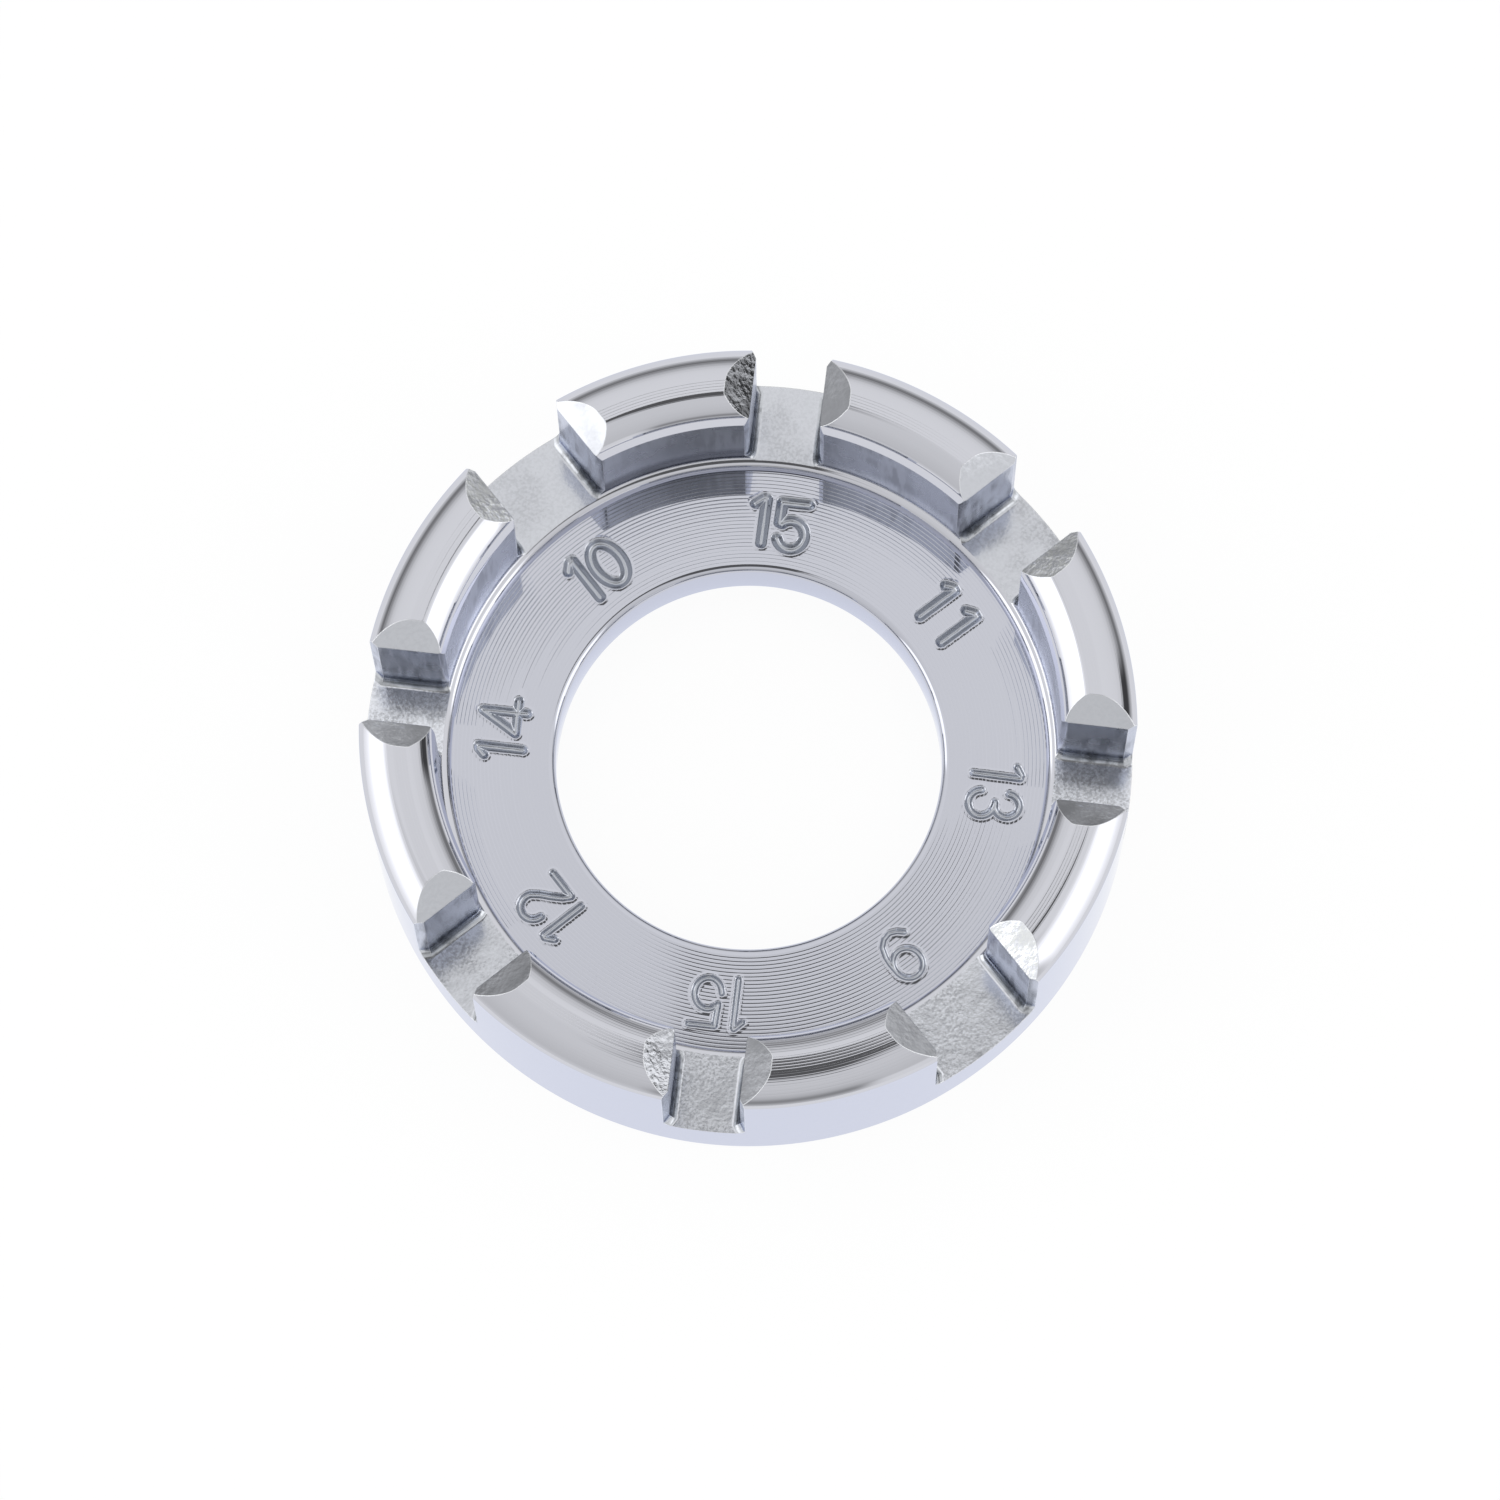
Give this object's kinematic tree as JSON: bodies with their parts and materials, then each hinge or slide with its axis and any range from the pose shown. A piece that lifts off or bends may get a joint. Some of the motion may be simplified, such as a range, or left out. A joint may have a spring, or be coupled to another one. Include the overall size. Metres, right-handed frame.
{
  "type": "spoke wrench",
  "caption": "Round steel spoke wrench: a flat ring with a raised rim cut by nipple slots of different widths, each beside its gauge number, round a centre hole.",
  "frame": {"origin": "centre of the hole, on the flat back", "axes": "+Z along the ring's axis, from the flat back towards the slotted crown; +X out through the middle of the 11 slot; +Y out through the middle of the 10 slot"},
  "size_m": [0.038, 0.038, 0.0115],
  "materials": {
    "plated_steel": "polished plating over turned and as-forged steel"
  },
  "bodies": {
    "root": {"wrench_ring": "plated_steel"}
  },
  "joints": []
}
